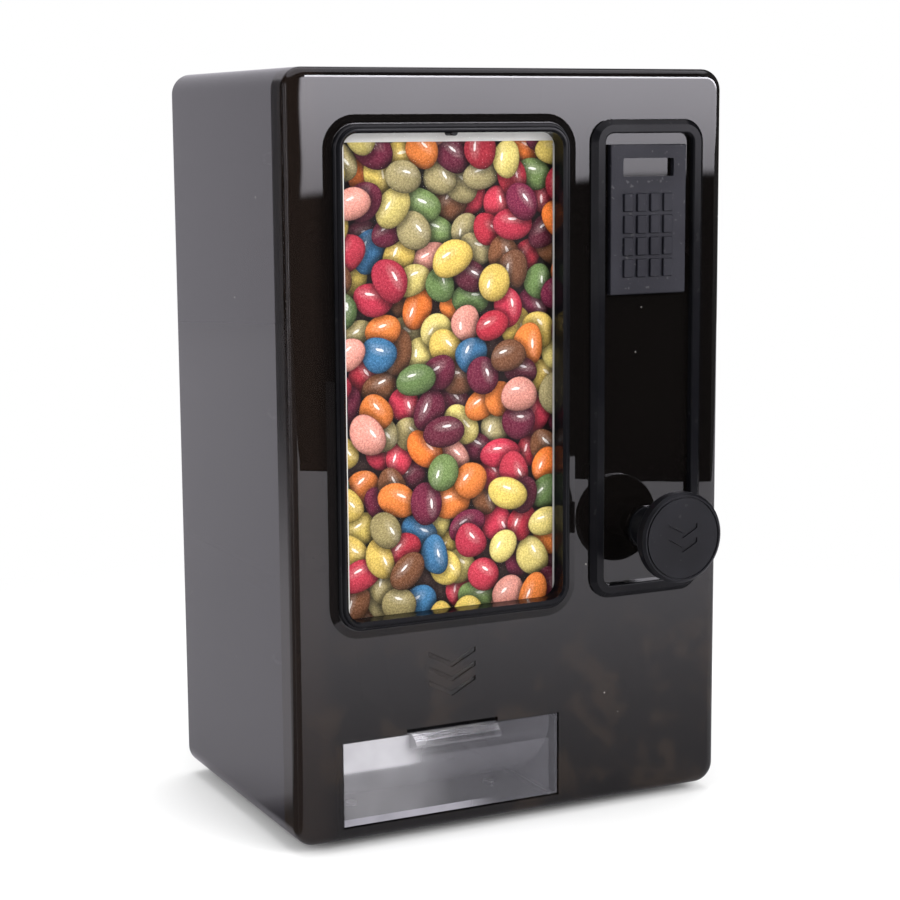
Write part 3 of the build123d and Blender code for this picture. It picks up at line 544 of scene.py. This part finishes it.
corner_points = sheet_points[corner_index]
shade = np.ones(corner_index.shape)
across_card = np.zeros(corner_index.shape + (2,))
own_place = np.full(corner_index.shape + (2,), OFF_THE_SWEET)
tint = np.zeros(corner_index.shape + (4,))
tint[..., 3] = 1
tint[..., :3] = GAP_COLOUR
for k, sweet in enumerate(sweets):
    along, across = on_sweet(sweet, corner_points[..., 0], corner_points[..., 1])
    radius = np.sqrt(along**2 + across**2)
    below = (top_sweet < k)[:, None]
    fade = np.clip((radius - 1) / (SHADOW_REACH - 1), 0, 1)
    shade = np.where(below, shade * (1 - SHADOW_DEPTH + SHADOW_DEPTH * fade * fade * (3 - 2 * fade)), shade)
    mine = top_sweet == k
    cos, sin = math.cos(sweet["turn"]), math.sin(sweet["turn"])
    across_card[mine, :, 0] = (along * cos - across * sin)[mine]
    across_card[mine, :, 1] = (along * sin + across * cos)[mine]
    own_place[mine, :, 0] = (along - sweet["shift"])[mine]
    own_place[mine, :, 1] = (across * math.copysign(1.0, cos))[mine]
    tint[mine, :, :3] = np.array(sweet["colour"]) * sweet["glow"]
print("faces in the gaps:", int((top_sweet == IN_GAP).sum()), "in the margin:", int((top_sweet == IN_MARGIN).sum()))

# %% The card as a solid
PANE_GAP = 0.00004
card_mesh = bpy.data.meshes.new("printed_card")
card_mesh.from_pydata([(x, card_low.y + PANE_GAP, z) for x, z in sheet_points], [], sheet_faces)
place_on_sweet = card_mesh.uv_layers.new(name="place_on_sweet")
place_on_sweet.data.foreach_set("uv", across_card.astype(np.float32).ravel())
glint_place = card_mesh.uv_layers.new(name="glint_place")
glint_place.data.foreach_set("uv", own_place.astype(np.float32).ravel())
sweet_tint = card_mesh.color_attributes.new("sweet_tint", "FLOAT_COLOR", "CORNER")
sweet_tint.data.foreach_set("color", tint.astype(np.float32).ravel())
soft_shade = card_mesh.attributes.new("soft_shade", "FLOAT", "CORNER")
soft_shade.data.foreach_set("value", shade.astype(np.float32).ravel())
card_mesh.polygons.foreach_set("material_index", (top_sweet == IN_MARGIN).astype(np.int32))
card_mesh.validate()
printed_card = bpy.data.objects.new("printed_card", card_mesh)
bpy.context.scene.collection.objects.link(printed_card)


# %% [markdown]
# ## Ink and card
#
# The ink's finish rebuilds the roundness of each sweet from the stored place. The light in the print comes from above
# and a little from the left. A sweet's sugar shell is speckled, and its highlight is small and nearly white.

# %% Ink and card
PRINT_LIGHT = (-0.22, 0.42, 0.88)
GLINT_RISE = 0.33
SUGAR_COLOUR, GLINT_COLOUR = (0.80, 0.74, 0.68, 1), (1.0, 0.98, 0.96, 1)


def ink_finish():
    finish = Finish("ink")
    place = finish.add("UVMap", {"uv_map": "place_on_sweet"})
    side, rise = finish.axis(place, 0), finish.axis(place, 1)
    out = side * side + rise * rise
    depth = (1 - out).math("MAXIMUM", 0.0).math("SQRT")
    lit = side * PRINT_LIGHT[0] + rise * PRINT_LIGHT[1] + depth * PRINT_LIGHT[2]
    colour = finish.add("VertexColor", {"layer_name": "sweet_tint"})
    shade = finish.add("Attribute", {"attribute_name": "soft_shade"}, out=2)
    speckle = finish.noise(1500, 3, rough=0.85).step(0.36, 0.70)
    patch = finish.noise(230, 2)
    strength = (lit.step(-0.35, 1.0) * 0.85 + 0.22) * shade * (speckle * 0.58 + 0.64) * (patch * 0.5 + 0.75)
    strength = strength * (1 - out.step(0.86, 1.0) * 0.35)
    lit_colour = finish.add("VectorMath", {"operation": "SCALE"}, {0: colour, 3: strength})
    own = finish.add("UVMap", {"uv_map": "glint_place"})
    along, across = finish.axis(own, 0), finish.axis(own, 1) - GLINT_RISE
    ragged = finish.noise(900, 2) * 1.5 + 0.35
    streak = along * along * 13.0 + across * across * 100.0
    spot = (1 - (streak * ragged).step(0.35, 1.0)) * shade
    halo = (1 - (along * along * 1.6 + across * across * 6.0).step(0.0, 1.0)) * shade
    sugar = speckle * strength * 0.05 + halo * (speckle * 0.14 + 0.04)
    soft = finish.blend(sugar, lit_colour, SUGAR_COLOUR)
    final = finish.blend(spot * (speckle * 0.4 + 0.5), soft, GLINT_COLOUR)
    return finish.shader({
        "Base Color": final,
        "Roughness": speckle * 0.1 + 0.55,
        "Specular IOR Level": 0.15,
        "Normal": finish.bump(finish.noise(700, 2), 0.00001, 0.3),
    })


def bare_card_finish():
    finish = Finish("bare_card")
    fibre = finish.noise(500, 4, rough=0.7)
    return finish.shader({
        "Base Color": finish.blend(fibre, (0.60, 0.59, 0.58, 1), (0.70, 0.69, 0.68, 1)),
        "Roughness": fibre * 0.1 + 0.5,
        "Specular IOR Level": 0.15,
        "Normal": finish.bump(fibre, 0.00001, 0.4),
    })


card_mesh.materials.append(ink_finish())
card_mesh.materials.append(bare_card_finish())


def only(piece):
    """Selects one object and makes it the active one."""
    bpy.ops.object.select_all(action="DESELECT")
    piece.select_set(True)
    bpy.context.view_layer.objects.active = piece


def thicken(piece, thickness, offset):
    only(piece)
    solid = piece.modifiers.new("thickness", "SOLIDIFY")
    solid.thickness = thickness
    solid.offset = offset
    solid.material_offset = 1
    bpy.ops.object.modifier_apply(modifier=solid.name)


thicken(printed_card, (card_high.y - card_low.y) * 0.9, -1.0)
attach(printed_card, "case")
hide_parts("picture_card")

# %% [markdown]
# ## The return spring
#
# The spring has to get shorter when the knob is pulled, which a rigid node can't. One wire section is made as a small
# circle, and the Screw modifier winds it into a coil. The coil is hung on the case as it is, and nothing here shortens
# it.

# %% The return spring
spring_low, spring_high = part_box("return_spring")
spring_centre = (spring_low + spring_high) / 2
WIRE_RADIUS = 0.00045
SPRING_TURNS = 8
coil_radius = (spring_high.x - spring_low.x) / 2 - WIRE_RADIUS
bpy.ops.object.select_all(action="DESELECT")
bpy.ops.mesh.primitive_circle_add(vertices=10, radius=WIRE_RADIUS, fill_type="NOTHING")
coil = bpy.context.object
coil.name = "coil_spring"
bpy.ops.object.mode_set(mode="EDIT")
bpy.ops.mesh.select_all(action="SELECT")
bpy.ops.transform.rotate(value=math.pi / 2, orient_axis="X", center_override=(0, 0, 0))
bpy.ops.transform.translate(value=(coil_radius, 0, 0))
bpy.ops.object.mode_set(mode="OBJECT")
winding = coil.modifiers.new("winding", "SCREW")
winding.axis = "Z"
winding.iterations = SPRING_TURNS
winding.steps = winding.render_steps = 28
winding.screw_offset = (spring_high.y - spring_low.y - 2 * WIRE_RADIUS) / SPRING_TURNS
winding.use_merge_vertices = False
bpy.ops.object.modifier_apply(modifier=winding.name)
bpy.ops.object.mode_set(mode="EDIT")
bpy.ops.mesh.select_all(action="SELECT")
bpy.ops.mesh.fill_holes(sides=0)
bpy.ops.mesh.normals_make_consistent(inside=False)
bpy.ops.object.mode_set(mode="OBJECT")
bpy.ops.object.shade_smooth_by_angle(angle=math.radians(50))
lay_down = Matrix.Rotation(-math.pi / 2, 4, "X")
put = Matrix.Translation((spring_centre.x, spring_low.y + WIRE_RADIUS, spring_centre.z))
coil.data.transform(put @ lay_down)
coil.matrix_world = Matrix.Identity(4)
coil.data.materials.append(spring_steel)
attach(coil, "case")
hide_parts("return_spring")
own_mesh(coil)
print("spring:", len(coil.data.polygons), "faces")

# %% [markdown]
# ## Floor, world and lamps
#
# The machine stands on a pale table in front of a white wall, in a studio with a large softbox in front. Near the
# machine the table is a real surface that takes its shadow, and further out it fades to the white of the background,
# for the camera only. The world gives a level light to everything matt. What polished parts mirror is another matter:
# they see the white wall behind, the dark room in front with the softbox in it, a bright ceiling, and a narrow strip
# light at the left. The softbox's edges lie where the reflections in the photograph end. For mirrored rays the table
# also carries a painted shadow in front of, behind and beside the case, with one bright line left in it, a painted
# gleam.

# %% Floor
TABLE_FRONT, TABLE_BACK, TABLE_SIDE = -0.726, 1.8, 1.8
TABLE_TURN = math.radians(38.8)
bpy.ops.object.select_all(action="DESELECT")
bpy.ops.mesh.primitive_plane_add(size=1)
table = bpy.context.object
table.name = "table"
table.data.transform(Matrix.Rotation(TABLE_TURN, 4, "Z")
                     @ Matrix.Translation((0, (TABLE_FRONT + TABLE_BACK) / 2, -0.0002))
                     @ Matrix.Diagonal((2 * TABLE_SIDE, TABLE_BACK - TABLE_FRONT, 1, 1)))


BEHIND_FADE, IN_FRONT_FADE, BESIDE_FADE = (0.0, 0.05), (-0.38, -0.06), (-0.088, -0.079)
GLEAM_X, GLEAM_Y = -0.077, -0.039
GLEAM_FROM, GLEAM_TO = (0.47, 0.50), (0.56, 0.59)
PAINTED_SHADOW_IN_FRONT, PAINTED_SHADOW_BEHIND, PAINTED_SHADOW_BESIDE = 0.52, 0.42, 0.92
MIRRORED_TABLE = (0.92, 0.89, 0.96, 1)
WHITE_FROM, WHITE_TO = 0.13, 0.42


def table_finish():
    """A matt table. Mirrored rays see painted shadow in front, behind and beside the case, save a painted gleam."""
    finish = Finish("table")
    spot = finish.add("VectorMath", {"operation": "LENGTH"}, {0: finish.place()}, out="Value")
    mirrored = finish.add("LightPath", out="Is Glossy Ray")
    side, depth = finish.axis(finish.place(), 0), finish.axis(finish.place(), 1)
    behind = depth.step(*BEHIND_FADE)
    in_front = depth.step(*IN_FRONT_FADE) * (1 - behind)
    # Painted gleam: a line where the painted shadow beside the case is left out.
    painted_gleam = (depth - GLEAM_Y) / (side - GLEAM_X)
    painted_gleam = painted_gleam.step(*GLEAM_FROM) * (1 - painted_gleam.step(*GLEAM_TO))
    beside = (1 - side.step(*BESIDE_FADE)) * (1 - behind) * (1 - painted_gleam)
    # Painted shadow: the table is darkened for mirrored rays in front of, behind and beside the case.
    dark = in_front * PAINTED_SHADOW_IN_FRONT + behind * (PAINTED_SHADOW_BEHIND - depth.step(0.3, 1.6) * 0.25)
    dark = dark.math("MAXIMUM", beside * PAINTED_SHADOW_BESIDE)
    near = 1 - dark * mirrored
    pale = finish.blend(finish.noise(9, 3), grey(0.90), grey(0.93))
    pale = finish.blend(mirrored, pale, MIRRORED_TABLE)
    matt = finish.add("BsdfDiffuse", {}, {"Color": finish.blend(near, grey(0.0), pale)})
    white = finish.add("Emission", {}, {"Color": grey(1.0), "Strength": 1.0})
    camera_ray = finish.add("LightPath", out="Is Camera Ray")
    far = spot.step(WHITE_FROM, WHITE_TO)
    surface = finish.add("MixShader", {}, {0: far * camera_ray, 1: matt, 2: white})
    finish.output(surface)
    return finish.holder


table.data.materials.append(table_finish())


# %% World
LEVEL_LIGHT = 0.85
SOFTBOX_LEFT, SOFTBOX_RIGHT = (0.4060, 0.4090), (1.3, 1.4)
SOFTBOX_FOOT, SOFTBOX_TOP, SOFTBOX_LEAN = (-0.0540, -0.0475), (0.30, 0.40), 0.038
SOFTBOX_LIGHT, SOFTBOX_RISE, SOFTBOX_BOOST = 6.3, 60, 4
WALL_LIGHT, CEILING_LIGHT, STRIP_LIGHT, ROOM_LIGHT = 0.79, 1.5, 4.5, 0.012
STRIP_PLACE, STRIP_HALF_WIDTH = -0.88, 0.014
MIRRORED_TINT = (0.95, 0.92, 1.0, 1)


def studio_world():
    """A level light for matt parts, and for mirrored rays a dark room with a softbox, wall, ceiling and strip."""
    world = Finish("studio", world=True)
    direction = world.add("TexCoord", out="Generated")
    x, y, z = (world.axis(direction, number) for number in range(3))
    ahead = (y * -1).math("MAXIMUM", 0.02)
    side_slope, rise_slope = x / ahead, z / ahead
    above_edge = rise_slope - side_slope * SOFTBOX_LEAN
    softbox = side_slope.step(*SOFTBOX_LEFT) * (1 - side_slope.step(*SOFTBOX_RIGHT))
    softbox = softbox * above_edge.step(*SOFTBOX_FOOT) * (1 - rise_slope.step(*SOFTBOX_TOP))
    softbox = softbox * y.math("LESS_THAN", 0.0)
    softbox_light = rise_slope * SOFTBOX_RISE + SOFTBOX_LIGHT + rise_slope.step(0.03, 0.12) * SOFTBOX_BOOST
    behind = y.math("MAXIMUM", 0.001)
    wall = (1 - (x / behind).math("ABSOLUTE").step(0.66, 0.80)) * y.step(0.0, 0.05)
    wall = wall * (1 - (z / behind).step(0.9, 1.2))
    ceiling = z.step(0.72, 0.80)
    strip = (x - STRIP_PLACE).math("ABSOLUTE").math("LESS_THAN", STRIP_HALF_WIDTH)
    strip = strip * (1 - z.math("ABSOLUTE").step(0.35, 0.45))
    mirrored = softbox * softbox_light + wall * WALL_LIGHT + ceiling * CEILING_LIGHT
    mirrored = mirrored + strip * STRIP_LIGHT + ROOM_LIGHT
    seen_by_camera = world.add("LightPath", out="Is Camera Ray")
    glossy = world.add("LightPath", out="Is Glossy Ray")
    through = world.add("LightPath", out="Is Transmission Ray")
    strength = seen_by_camera.math("MAXIMUM", through) * (1.0 - LEVEL_LIGHT) + LEVEL_LIGHT
    strength = strength * (1 - glossy) + glossy * mirrored
    colour = world.blend(glossy, grey(1.0), MIRRORED_TINT)
    world.output(world.add("Background", {}, {"Color": colour, "Strength": strength}))
    bpy.context.scene.world = world.holder


studio_world()


# %% Lamps
def lamp(name, place, target, size, power):
    data = bpy.data.lights.new(name, "AREA")
    data.shape = "RECTANGLE"
    data.size, data.size_y = size
    data.energy = power
    piece = bpy.data.objects.new(name, data)
    bpy.context.scene.collection.objects.link(piece)
    piece.location = place
    piece.rotation_euler = (Vector(target) - Vector(place)).to_track_quat("-Z", "Y").to_euler()
    piece.visible_glossy = False


lamp("front_softbox", (0.5, -1.5, 0.9), (0, 0, 0.12), (1.2, 0.9), 26)
lamp("left_fill", (-1.3, -0.3, 0.8), (0, 0, 0.12), (0.9, 0.9), 8)
lamp("top_fill", (0, 0.3, 1.5), (0, 0, 0.1), (1.0, 1.0), 8)
bpy.context.scene.view_settings.view_transform = "Standard"
